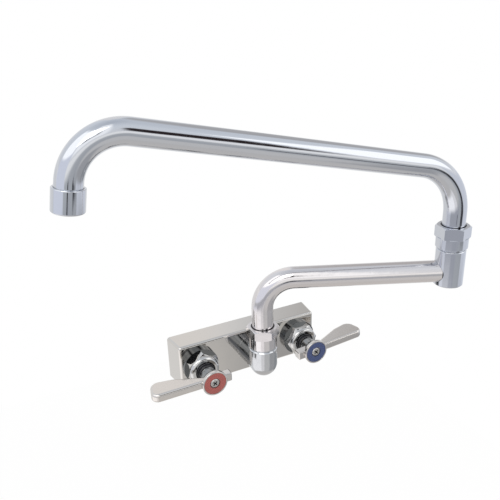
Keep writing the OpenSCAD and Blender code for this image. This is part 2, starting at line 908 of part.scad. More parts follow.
module aerator_screen() {
    to = aerator_l - aerator_lip_t;
    color("gray") on_tip() difference() {
        translate([0, 0, to - screen_t]) cylinder(r = tube_r - screen_slack, h = screen_t);
        for (at = hex_pattern(screen_rings, screen_pitch)) {
            translate([at[0], at[1], to - screen_t - overrun])
                cylinder(r = screen_hole_r, h = screen_t + 2 * overrun, $fn = hole_fn);
        }
    }
}

valve_body();
bonnet_nut(hot, hot_nut_turn);  // hot_bonnet_nut
cartridge(hot);  // hot_cartridge
cartridge_ring(hot);  // hot_cartridge_ring
seat_seal(hot);  // hot_seat_seal
fixed_disc(hot);  // hot_fixed_disc
moving_disc(hot);  // hot_moving_disc
stem(hot);  // hot_stem
stem_rings(hot);  // hot_stem_rings
handle(hot, 0);  // hot_handle
index_ring(hot, "firebrick");  // hot_index_ring
handle_screw(hot);  // hot_handle_screw
bonnet_nut(cold, cold_nut_turn);  // cold_bonnet_nut
cartridge(cold);  // cold_cartridge
cartridge_ring(cold);  // cold_cartridge_ring
seat_seal(cold);  // cold_seat_seal
fixed_disc(cold);  // cold_fixed_disc
moving_disc(cold);  // cold_moving_disc
stem(cold);  // cold_stem
stem_rings(cold);  // cold_stem_rings
handle(cold, cold_tilt);  // cold_handle
index_ring(cold, "royalblue");  // cold_index_ring
handle_screw(cold);  // cold_handle_screw
base_nut();
base_bush();
base_ferrule();
base_rings();
first_arm_tube();
joint_socket();
joint_nut();
joint_bush();
joint_ferrule();
joint_rings();
second_arm_tube();
aerator_housing();
aerator_washer();
aerator_insert();
aerator_screen();
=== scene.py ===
"""Splash mount faucet with a double-jointed spout: the looks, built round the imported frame.

The axes are the frame's own: X along the wall, -Y out of the wall, +Z up. Meshes are in metres, and
values are in millimetres or degrees where their names say so. A depth is a distance out of the wall.
"""

import json
import logging
import math
from dataclasses import dataclass
from enum import Enum
from typing import Sequence

import bpy
from mathutils import Matrix, Vector

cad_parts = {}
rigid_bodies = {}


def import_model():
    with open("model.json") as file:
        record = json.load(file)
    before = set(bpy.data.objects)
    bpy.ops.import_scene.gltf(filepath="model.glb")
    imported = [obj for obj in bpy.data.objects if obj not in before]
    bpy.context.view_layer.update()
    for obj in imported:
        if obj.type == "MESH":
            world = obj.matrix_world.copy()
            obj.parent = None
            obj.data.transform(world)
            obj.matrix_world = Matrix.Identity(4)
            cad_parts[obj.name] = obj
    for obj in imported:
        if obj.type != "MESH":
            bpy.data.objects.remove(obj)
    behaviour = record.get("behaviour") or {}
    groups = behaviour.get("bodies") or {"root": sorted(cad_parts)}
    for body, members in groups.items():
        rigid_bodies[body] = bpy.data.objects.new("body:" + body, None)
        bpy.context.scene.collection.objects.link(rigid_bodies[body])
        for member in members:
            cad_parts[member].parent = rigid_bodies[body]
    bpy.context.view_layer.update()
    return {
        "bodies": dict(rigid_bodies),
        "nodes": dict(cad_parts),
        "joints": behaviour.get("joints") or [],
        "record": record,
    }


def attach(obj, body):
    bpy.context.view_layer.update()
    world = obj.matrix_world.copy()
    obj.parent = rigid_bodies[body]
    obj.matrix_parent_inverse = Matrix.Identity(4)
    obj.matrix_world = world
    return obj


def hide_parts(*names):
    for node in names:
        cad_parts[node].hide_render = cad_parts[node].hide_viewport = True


LOG = logging.getLogger("faucet")
MM = 0.001
UP = Vector((0.0, 0.0, 1.0))
MERGE_DISTANCE = 0.002 * MM
FINE_BUMP = 0.1 * MM
# Edges that turn by less than this are taken out of a flat face.
FLAT_DEG = 0.2
# How far large faces decide the shading of their edges, 50 being even.
FLAT_WEIGHT = 80
PALE_FLOOR = "E9E6E2"
WHITE = "FFFFFF"
# A lowest and a highest value.
Span = tuple[float, float]
# A place, along X, Y and Z.
Point = tuple[float, float, float]


class Body(Enum):
    """The rigid bodies that pieces ride on."""

    BODY = "body"
    HOT_LEVER = "hot_lever"
    COLD_LEVER = "cold_lever"
    FIRST_ARM = "first_arm"
    SECOND_ARM = "second_arm"


class Grain(Enum):
    """The way that polishing marks run over a metal piece, as a stretch along X, Y and Z."""

    NONE = (1.0, 1.0, 1.0)
    ALONG_X = (0.04, 1.0, 1.0)


def linear(hex_colour: str) -> tuple[float, float, float, float]:
    """Turn an sRGB hex colour into a linear colour.

    Args:
        hex_colour: Six hex digits.

    Returns:
        Linear red, green, blue and an alpha of 1.
    """
    channels = [int(hex_colour[i : i + 2], 16) / 255 for i in (0, 2, 4)]
    curved = [c / 12.92 if c <= 0.04045 else ((c + 0.055) / 1.055) ** 2.4 for c in channels]
    return (*curved, 1.0)


def add_node(
    tree: bpy.types.NodeTree, kind: str, inputs: dict | None = None, **settings: object
) -> bpy.types.Node:
    """Add a node with its settings and links.

    Args:
        tree: The node tree.
        kind: The node's type.
        inputs: Socket name or number to a value, or to an output socket that is linked to it.
        settings: The node's own properties.

    Returns:
        The new node.
    """
    node = tree.nodes.new(kind)
    for key, value in settings.items():
        setattr(node, key, value)
    for name, value in (inputs or {}).items():
        if isinstance(value, bpy.types.NodeSocket):
            tree.links.new(value, node.inputs[name])
        else:
            node.inputs[name].default_value = value
    return node


@dataclass(frozen=True)
class Metal:
    """A bare or plated metal surface with polishing marks and a slightly uneven gloss.

    Attributes:
        name: The material's name.
        colour: Reflection colour, sRGB hex.
        roughness: Lowest and highest roughness.
        mark_mm: Spacing of the polishing marks.
        mark_depth: Bump strength of the marks.
        wave_mm: Size of the soft waves left by polishing.
        wave_depth: Bump strength of the waves.
        grain: The way that the marks run.
        spread: Part of the waves' noise that spans the two roughnesses.
    """

    name: str
    colour: str
    roughness: Span
    mark_mm: float = 0.6
    mark_depth: float = 0.01
    wave_mm: float = 9.0
    wave_depth: float = 0.02
    grain: Grain = Grain.NONE
    spread: Span = (0.3, 0.7)

    def make(self) -> bpy.types.Material:
        """Build the material.

        Returns:
            The material.
        """
        material, tree, shader = new_material(self.name)
        shader.inputs["Base Color"].default_value = linear(self.colour)
        shader.inputs["Metallic"].default_value = 1.0
        place = add_node(tree, "ShaderNodeTexCoord").outputs["Object"]
        along = add_node(tree, "ShaderNodeMapping", {"Vector": place, "Scale": self.grain.value})
        marks = add_node(
            tree,
            "ShaderNodeTexNoise",
            {"Vector": along.outputs["Vector"], "Scale": 1 / (self.mark_mm * MM), "Detail": 2.0},
        )
        waves = add_node(
            tree, "ShaderNodeTexNoise", {"Vector": place, "Scale": 1 / (self.wave_mm * MM), "Detail": 1.0}
        )
        gloss = add_node(
            tree,
            "ShaderNodeMapRange",
            {
                "Value": waves.outputs["Fac"],
                "From Min": self.spread[0],
                "From Max": self.spread[1],
                "To Min": self.roughness[0],
                "To Max": self.roughness[1],
            },
        )
        tree.links.new(gloss.outputs["Result"], shader.inputs["Roughness"])
        low = add_node(
            tree,
            "ShaderNodeBump",
            {"Height": waves.outputs["Fac"], "Strength": self.wave_depth, "Distance": MM},
        )
        fine = add_node(
            tree,
            "ShaderNodeBump",
            {
                "Height": marks.outputs["Fac"],
                "Strength": self.mark_depth,
                "Distance": FINE_BUMP,
                "Normal": low.outputs["Normal"],
            },
        )
        tree.links.new(fine.outputs["Normal"], shader.inputs["Normal"])
        return material


@dataclass(frozen=True)
class Moulded:
    """A moulded, pressed or fired surface: plastic, rubber, enamel or ceramic, with a fine grain.

    Attributes:
        name: The material's name.
        colour: Main colour, sRGB hex.
        shade: Second colour that the surface drifts to, sRGB hex.
        roughness: Lowest and highest roughness.
        grain_mm: Size of the surface grain.
        grain_depth: Bump strength of the grain.
        drift_mm: Size of the patches in which the colour drifts.
        coat: Clear coat weight.
    """

    name: str
    colour: str
    shade: str
    roughness: Span
    grain_mm: float = 0.4
    grain_depth: float = 0.08
    drift_mm: float = 4.0
    coat: float = 0.0

    def make(self) -> bpy.types.Material:
        """Build the material.

        Returns:
            The material.
        """
        material, tree, shader = new_material(self.name)
        shader.inputs["Coat Weight"].default_value = self.coat
        place = add_node(tree, "ShaderNodeTexCoord").outputs["Object"]
        drift = add_node(
            tree, "ShaderNodeTexNoise", {"Vector": place, "Scale": 1 / (self.drift_mm * MM), "Detail": 2.0}
        )
        grain = add_node(
            tree, "ShaderNodeTexNoise", {"Vector": place, "Scale": 1 / (self.grain_mm * MM), "Detail": 2.0}
        )
        colour = add_node(
            tree,
            "ShaderNodeMix",
            {"Factor": drift.outputs["Fac"], "A": linear(self.colour), "B": linear(self.shade)},
            data_type="RGBA",
        )
        tree.links.new(colour.outputs["Result"], shader.inputs["Base Color"])
        gloss = add_node(
            tree,
            "ShaderNodeMapRange",
            {"Value": grain.outputs["Fac"], "To Min": self.roughness[0], "To Max": self.roughness[1]},
        )
        tree.links.new(gloss.outputs["Result"], shader.inputs["Roughness"])
        bump = add_node(
            tree,
            "ShaderNodeBump",
            {"Height": grain.outputs["Fac"], "Strength": self.grain_depth, "Distance": FINE_BUMP},
        )
        tree.links.new(bump.outputs["Normal"], shader.inputs["Normal"])
        return material


def new_material(name: str) -> tuple[bpy.types.Material, bpy.types.NodeTree, bpy.types.Node]:
    """Make an empty material with its shader.

    Args:
        name: The material's name.

    Returns:
        The material, its node tree and its Principled shader.
    """
    material = bpy.data.materials.new(name)
    material.use_nodes = True
    tree = material.node_tree
    tree.nodes.clear()
    shader = add_node(tree, "ShaderNodeBsdfPrincipled")
    add_node(tree, "ShaderNodeOutputMaterial", {"Surface": shader.outputs["BSDF"]})
    return material, tree, shader


# Chromium on a machined and buffed part mirrors its room, cool and a little dark.
CHROME = Metal("cool_chrome", "C6C9CF", (0.045, 0.09))
# A drawn tube under chrome keeps faint, soft unevenness from the draw bench.
TUBE_CHROME = Metal("tube_chrome", "C6C9CF", (0.05, 0.1), wave_depth=0.03)
# The plating of the base nut and the first tube is paler, slightly pink and buffed less evenly.
WARM_CHROME = Metal("warm_chrome", "D6D3D4", (0.07, 0.14), wave_mm=6.0, wave_depth=0.05)
# Cast stainless steel, ground flat and polished along its length, is a slightly warm mirror.
CAST_STEEL = Metal("polished_cast_steel", "CBC8C4", (0.03, 0.07), mark_mm=0.8, grain=Grain.ALONG_X)
# The outlet casting is buffed over its cast skin, so it is cooler and less even.
OUTLET_STEEL = Metal("buffed_outlet_casting", "C2C4C7", (0.09, 0.17), wave_mm=4.0, wave_depth=0.06)
# The neck behind the outlet is painted dark as shade: the shade in the crotch between the outlet cup and
# the body, which also darkens its reflection in the body's face.
NECK_PAINTED_SHADE = Metal("neck_painted_shade", "84878A", (0.1, 0.18), wave_mm=4.0, wave_depth=0.05)
# A lever's paddle is polished by hand to a soft mirror.
PADDLE_STEEL = Metal("hand_polished_paddle", "D0CCC8", (0.12, 0.2), wave_mm=7.0, wave_depth=0.03)
# A lever's turned hub and square tail keep a harder polish.
HUB_STEEL = Metal("polished_hub_steel", "CBC8C5", (0.04, 0.08), wave_mm=5.0)
# Turned bonnet nuts have a hard, clear chrome mirror that picks up dark reflections.
NUT_CHROME = Metal("nut_chrome", "C4C4C3", (0.03, 0.06), wave_mm=5.0)
# The nut's flats and collar are painted dark beside the bright front, standing in for the dark reflections
# that they show.
NUT_FLATS_PAINTED_SHADE = Metal("nut_flats_painted_shade", "6E7071", (0.04, 0.08), wave_mm=5.0)
# The hub's turned neck is painted darker than its disc, standing in for the dark reflections that it shows
# behind the disc.
HUB_NECK_PAINTED_SHADE = Metal("hub_neck_painted_shade", "8C8E8F", (0.05, 0.1), wave_mm=5.0)
# Zinc plated steel screws are duller than chrome.
SCREW_STEEL = Metal("screw_steel", "BDBBB8", (0.2, 0.35))
# The driver's cross is deep, and its faces are painted near black as the shade inside the recess.
CROSS_PAINTED_SHADE = Metal("screw_cross_painted_shade", "2B2A29", (0.45, 0.6))
# Turned brass, hidden inside, shows its lathe marks.
TURNED_BRASS = Metal("turned_brass", "C9A961", (0.15, 0.3), mark_mm=0.8, grain=Grain.ALONG_X)
# Woven stainless outlet screen.
SCREEN_STEEL = Metal("screen_steel", "A9A9AB", (0.25, 0.4))
# Nitrile rubber is near black and dull.
RUBBER = Moulded("nitrile_rubber", "151516", "1E1E20", (0.5, 0.7), grain_mm=0.3)
# Acetal bushes and cartridges are dark, moulded and slightly waxy.
DARK_ACETAL = Moulded("dark_acetal", "1B1B1E", "2A2A2E", (0.28, 0.42))
# White acetal of the flow straightener.
WHITE_ACETAL = Moulded("white_acetal", "E6E5E0", "DCDBD5", (0.3, 0.45))
# Lapped alumina discs.
ALUMINA = Moulded("lapped_alumina", "EFEDE6", "E4E1D8", (0.12, 0.2), grain_depth=0.02)
# Enamel filled index rings, muted and softly glossy.
RED_ENAMEL = Moulded("red_enamel", "A4544D", "984C46", (0.3, 0.42), grain_mm=0.8, coat=0.25)
BLUE_ENAMEL = Moulded("blue_enamel", "3C4A74", "364369", (0.3, 0.42), grain_mm=0.8, coat=0.25)


class Finishes:
    """Makes each finish once and hands out its material."""

    def __init__(self) -> None:
        """Start with no material made."""
        self.made: dict[str, bpy.types.Material] = {}

    def of(self, finish: Metal | Moulded) -> bpy.types.Material:
        """Give the material of a finish.

        Args:
            finish: The finish.

        Returns:
            Its material, made on first use.
        """
        if finish.name not in self.made:
            self.made[finish.name] = finish.make()
        return self.made[finish.name]

    def dress(self, piece: bpy.types.Object, finish: Metal | Moulded) -> None:
        """Give a piece one finish all over.

        Args:
            piece: The piece or frame node.
            finish: The finish.
        """
        piece.data.materials.clear()
        piece.data.materials.append(self.of(finish))


class Bench:
    """Selection and edit mode, one piece at a time."""

    @staticmethod
    def hold(piece: bpy.types.Object) -> None:
        """Select one piece alone and make it active.

        Args:
            piece: The piece.
        """
        bpy.ops.object.select_all(action="DESELECT")
        piece.select_set(True)
        bpy.context.view_layer.objects.active = piece

    @staticmethod
    def clear() -> None:
        """Deselect everything before a new primitive is added."""
        bpy.ops.object.select_all(action="DESELECT")

    @staticmethod
    def settle(piece: bpy.types.Object) -> None:
        """Move a piece's place into its mesh.

        Args:
            piece: The piece, whose object then sits at the origin.
        """
        Bench.hold(piece)
        bpy.ops.object.transform_apply(location=True, rotation=True, scale=True)

    @staticmethod
    def apply_all(piece: bpy.types.Object) -> None:
        """Apply every modifier of a piece.

        Args:
            piece: The piece.
        """
        Bench.hold(piece)
        for modifier in list(piece.modifiers):
            bpy.ops.object.modifier_apply(modifier=modifier.name)

    @staticmethod
    def break_edges(piece: bpy.types.Object, edge_mm: float, steps: int, sharp_deg: float) -> None:
        """Round a piece's sharp edges.

        Args:
            piece: The piece.
            edge_mm: Width of the rounding.
            steps: Segments of the rounding.
            sharp_deg: Edges that turn by more than this are rounded.
        """
        rounding = piece.modifiers.new("rounding", "BEVEL")
        rounding.width = edge_mm * MM
        rounding.segments = steps
        rounding.limit_method = "ANGLE"
        rounding.angle_limit = math.radians(sharp_deg)
        Bench.apply_all(piece)

    @staticmethod
    def smooth(piece: bpy.types.Object, sharp_deg: float) -> None:
        """Shade a piece smooth between its sharp edges, with its large faces kept flat.

        Args:
            piece: The piece.
            sharp_deg: Edges that turn by more than this stay sharp.
        """
        Bench.hold(piece)
        bpy.ops.object.shade_smooth_by_angle(angle=math.radians(sharp_deg))
        weighing = piece.modifiers.new("weighing", "WEIGHTED_NORMAL")
        weighing.weight = FLAT_WEIGHT
        weighing.keep_sharp = True
        Bench.apply_all(piece)


@dataclass(frozen=True)
class Accent:
    """A second finish on the faces of a piece that lie inside a box.

    Attributes:
        finish: The finish.
        low_mm: The box's lower corner.
        high_mm: The box's upper corner.
    """

    finish: Metal | Moulded
    low_mm: Point
    high_mm: Point

    @classmethod
    def around(
        cls,
        finish: Metal | Moulded,
        axis_mm: float,
        half_mm: float,
        depth_mm: Span,
        height_mm: Span | None = None,
    ) -> "Accent":
        """Put the box round an axis that runs out of the wall.

        Args:
            finish: The finish.
            axis_mm: Place of the axis along X.
            half_mm: Half the box's width.
            depth_mm: Depths between which it lies.
            height_mm: Heights between which it lies, or half its width each way if left out.

        Returns:
            The accent.
        """
        near, far = depth_mm
        bottom, top = height_mm or (-half_mm, half_mm)
        return cls(finish, (axis_mm - half_mm, -far, bottom), (axis_mm + half_mm, -near, top))

    def apply(self, piece: bpy.types.Object, finishes: Finishes) -> None:
        """Give the faces inside the box the finish.

        Args:
            piece: The piece, with its main finish on.
            finishes: The finishes.
        """
        piece.data.materials.append(finishes.of(self.finish))
        slot = len(piece.data.materials) - 1
        for face in piece.data.polygons:
            place = face.center / MM
            if all(low < value < high for low, value, high in zip(self.low_mm, place, self.high_mm)):
                face.material_index = slot


@dataclass
class SoftenedPiece:
    """A machined piece whose edges are broken by a small radius, as on the real one.

    Attributes:
        node: The frame node that the piece stands for.
        body: The body that it rides on.
        finish: Its finish.
        slot: The record's material slot; not used.
        edge_mm: Width of the rounding.
        steps: Segments of the rounding.
        sharp_deg: Edges that turn by more than this are rounded.
        accents: Second finishes.
    """

    node: str
    body: Body
    finish: Metal | Moulded
    slot: str
    edge_mm: float = 0.35
    steps: int = 3
    sharp_deg: float = 32.0
    accents: Sequence[Accent] = ()

    def build(self, frame: dict, finishes: Finishes) -> None:
        """Build the piece from a merged copy of its node.

        Args:
            frame: The loaded frame.
            finishes: The finishes.
        """
        piece = bpy.data.objects.new(f"{self.node}_finished", frame["nodes"][self.node].data.copy())
        bpy.context.scene.collection.objects.link(piece)
        Bench.hold(piece)
        bpy.ops.object.mode_set(mode="EDIT")
        bpy.ops.mesh.select_all(action="SELECT")
        bpy.ops.mesh.customdata_custom_splitnormals_clear()
        bpy.ops.mesh.remove_doubles(threshold=MERGE_DISTANCE)
        bpy.ops.mesh.dissolve_limited(angle_limit=math.radians(FLAT_DEG))
        bpy.ops.object.mode_set(mode="OBJECT")
        Bench.break_edges(piece, self.edge_mm, self.steps, self.sharp_deg)
        Bench.smooth(piece, self.sharp_deg)
        finishes.dress(piece, self.finish)
        for accent in self.accents:
            accent.apply(piece, finishes)
        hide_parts(self.node)
        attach(piece, self.body.value)
        LOG.info("%s: %d faces", piece.name, len(piece.data.polygons))


@dataclass
class Straight:
    """A straight stretch of tube.

    Attributes:
        length_mm: Its length.
    """

    length_mm: float


@dataclass
class Bend:
    """A bend that turns a tube downwards in its own plane.

    Attributes:
        radius_mm: Radius of the tube's centre line.
        sweep_deg: Angle that it turns.
    """

    radius_mm: float
    sweep_deg: float


@dataclass
class SpoutTube:
    """A chromed spout tube that starts upwards and is bent in one upright plane.

    Attributes:
        node: The frame node that the tube stands for.
        body: The body that it rides on.
        finish: Its finish.
        foot_mm: Centre of its lower end.
        turn_deg: Turn of its plane from the X axis.
        route: Its stretches, in order.
        radius_mm: Outer radius.
        wall_mm: Wall thickness.
        sides: Sides of its section.
        step_deg: Angle of one step of a bend.
        sharp_deg: Edges that turn by more than this stay sharp.
    """

    node: str
    body: Body
    finish: Metal
    foot_mm: Point
    turn_deg: float
    route: Sequence[Straight | Bend]
    radius_mm: float = 9.42
    wall_mm: float = 1.25
    sides: int = 72
    step_deg: float = 2.5
    sharp_deg: float = 40.0

    def heading(self, angle_deg: float) -> Vector:
        """Give a direction in the tube's plane.

        Args:
            angle_deg: Angle over the level.

        Returns:
            A unit vector.
        """
        turn, angle = math.radians(self.turn_deg), math.radians(angle_deg)
        level = Vector((math.cos(turn), math.sin(turn), 0.0))
        return level * math.cos(angle) + UP * math.sin(angle)

    def build(self, finishes: Finishes) -> None:
        """Extrude and spin the tube along its route, then give it its wall.

        Args:
            finishes: The finishes.
        """
        Bench.clear()
        end, angle = Vector(self.foot_mm) * MM, 90.0
        bpy.ops.mesh.primitive_circle_add(vertices=self.sides, radius=self.radius_mm * MM, location=end)
        piece = bpy.context.active_object
        piece.name = f"{self.node}_finished"
        bpy.ops.object.mode_set(mode="EDIT")
        bpy.ops.mesh.select_all(action="SELECT")
        for stretch in self.route:
            if isinstance(stretch, Straight):
                step = self.heading(angle) * stretch.length_mm * MM
                bpy.ops.mesh.extrude_region_move(TRANSFORM_OT_translate={"value": step})
                end = end + step
                continue
            inward = self.heading(angle - 90)
            centre = end + inward * stretch.radius_mm * MM
            bpy.ops.mesh.spin(
                steps=round(stretch.sweep_deg / self.step_deg),
                angle=math.radians(stretch.sweep_deg),
                center=centre,
                axis=self.heading(0).cross(self.heading(90)),
            )
            angle -= stretch.sweep_deg
            end = centre - self.heading(angle - 90) * stretch.radius_mm * MM
        bpy.ops.mesh.select_all(action="SELECT")
        bpy.ops.mesh.remove_doubles(threshold=MERGE_DISTANCE)
        bpy.ops.mesh.normals_make_consistent(inside=False)
        bpy.ops.object.mode_set(mode="OBJECT")
        Bench.settle(piece)
        self.face_outwards(piece)
        wall = piece.modifiers.new("wall", "SOLIDIFY")
        wall.thickness = self.wall_mm * MM
        wall.offset = -1.0
        Bench.apply_all(piece)
        bpy.ops.object.shade_smooth_by_angle(angle=math.radians(self.sharp_deg))
        finishes.dress(piece, self.finish)
        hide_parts(self.node)
        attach(piece, self.body.value)
        LOG.info("%s: %d faces, ends at %s", piece.name, len(piece.data.polygons), end)

    def face_outwards(self, piece: bpy.types.Object) -> None:
        """Turn the skin's faces outwards if they point to the tube's centre.

        Args:
            piece: The open tube, before it has a wall.
        """
        face = piece.data.polygons[0]
        foot = Vector(self.foot_mm) * MM
        outward = face.center - foot
        outward.z = 0.0
        if face.normal.dot(outward) < 0:
            Bench.hold(piece)
            bpy.ops.object.mode_set(mode="EDIT")
            bpy.ops.mesh.select_all(action="SELECT")
            bpy.ops.mesh.flip_normals()
            bpy.ops.object.mode_set(mode="OBJECT")


@dataclass
class Spout:
    """The double-jointed spout: two tubes, their swivels and the aerator.

    Attributes:
        outlet_mm: Centre of the base swivel on its axis, at the valve axes' height.
        first_turn_deg: Turn of the first arm.
        first_reach_mm: Distance from the outlet axis to the joint axis.
        first_foot_mm: Height of the first tube's lower end.
        first_bend_mm: Bend radius of the first tube.
        first_run_mm: Height of the first tube's level run.
        socket_bore_mm: Radius of the joint socket's bore, where the first tube ends.
        second_turn_deg: Turn of the second arm.
        second_foot_mm: Height of the second tube's lower end.
        second_rise_deg: Rise of the second tube's run.
        second_corner_mm: Height of the corner over the joint.
        second_bend_mm: Radius of that bend.
        second_reach_mm: Level distance from the joint axis to the tip's corner.
        tip_bend_mm: Radius of the tip's bend.
        tip_turn_deg: Angle of the tip's bend.
        tip_straight_mm: Length of tube after the tip's bend.
        base_nut_edge_mm: Rounding of the base nut's edges.
        joint_nut_edge_mm: Rounding of the joint nut's edges.
        nut_edge_steps: Segments of these two roundings.
        socket_edge_mm: Rounding of the joint socket's edges.
        aerator_edge_mm: Rounding of the aerator housing's edges.
    """

    outlet_mm: tuple[float, float] = (0.0, -50.0)
    first_turn_deg: float = -24.3
    first_reach_mm: float = 160.0
    first_foot_mm: float = 28.85
    first_bend_mm: float = 27.5
    first_run_mm: float = 83.0
    socket_bore_mm: float = 8.65
    second_turn_deg: float = 172.7
    second_foot_mm: float = 115.85
    second_rise_deg: float = 11.7
    second_corner_mm: float = 171.0
    second_bend_mm: float = 44.0
    second_reach_mm: float = 292.0
    tip_bend_mm: float = 35.0
    tip_turn_deg: float = 92.4
    tip_straight_mm: float = 10.0
    base_nut_edge_mm: float = 0.8
    joint_nut_edge_mm: float = 1.0
    nut_edge_steps: int = 4
    socket_edge_mm: float = 0.4
    aerator_edge_mm: float = 0.3

    def joint(self) -> tuple[float, float]:
        """Work out the joint axis's place.

        Returns:
            Its X and Y, in millimetres.
        """
        turn = math.radians(self.first_turn_deg)
        x, y = self.outlet_mm
        return x + self.first_reach_mm * math.cos(turn), y + self.first_reach_mm * math.sin(turn)

    def build(self, frame: dict, finishes: Finishes) -> None:
        """Build the tubes and dress the swivels and the aerator.

        Args:
            frame: The loaded frame.
            finishes: The finishes.
        """
        SpoutTube(
            "first_arm_tube",
            Body.FIRST_ARM,
            WARM_CHROME,
            (*self.outlet_mm, self.first_foot_mm),
            self.first_turn_deg,
            [
                Straight(self.first_run_mm - self.first_bend_mm - self.first_foot_mm),
                Bend(self.first_bend_mm, 90.0),
                Straight(self.first_reach_mm - self.first_bend_mm - self.socket_bore_mm),
            ],
        ).build(finishes)
        sweep = 90.0 - self.second_rise_deg
        setback = self.second_bend_mm * math.tan(math.radians(sweep / 2))
        tip_setback = self.tip_bend_mm * math.tan(math.radians(self.tip_turn_deg / 2))
        run = self.second_reach_mm / math.cos(math.radians(self.second_rise_deg)) - setback - tip_setback
        SpoutTube(
            "second_arm_tube",
            Body.SECOND_ARM,
            TUBE_CHROME,
            (*self.joint(), self.second_foot_mm),
            self.second_turn_deg,
            [
                Straight(self.second_corner_mm - setback - self.second_foot_mm),
                Bend(self.second_bend_mm, sweep),
                Straight(run),
                Bend(self.tip_bend_mm, self.tip_turn_deg),
                Straight(self.tip_straight_mm),
            ],
        ).build(finishes)
        steps = self.nut_edge_steps
        for piece in (
            SoftenedPiece("base_nut", Body.BODY, WARM_CHROME, "chrome", self.base_nut_edge_mm, steps),
            SoftenedPiece("joint_socket", Body.FIRST_ARM, CHROME, "chrome", self.socket_edge_mm),
            SoftenedPiece("joint_nut", Body.FIRST_ARM, CHROME, "chrome", self.joint_nut_edge_mm, steps),
            SoftenedPiece("aerator_housing", Body.SECOND_ARM, CHROME, "chrome", self.aerator_edge_mm),
        ):
            piece.build(frame, finishes)
        hidden = {
            "base_bush": DARK_ACETAL,
            "joint_bush": DARK_ACETAL,
            "base_ferrule": TURNED_BRASS,
            "joint_ferrule": TURNED_BRASS,
            "base_rings": RUBBER,
            "joint_rings": RUBBER,
            "aerator_washer": RUBBER,
            "aerator_insert": WHITE_ACETAL,
            "aerator_screen": SCREEN_STEEL,
        }
        for node, finish in hidden.items():
            finishes.dress(frame["nodes"][node], finish)


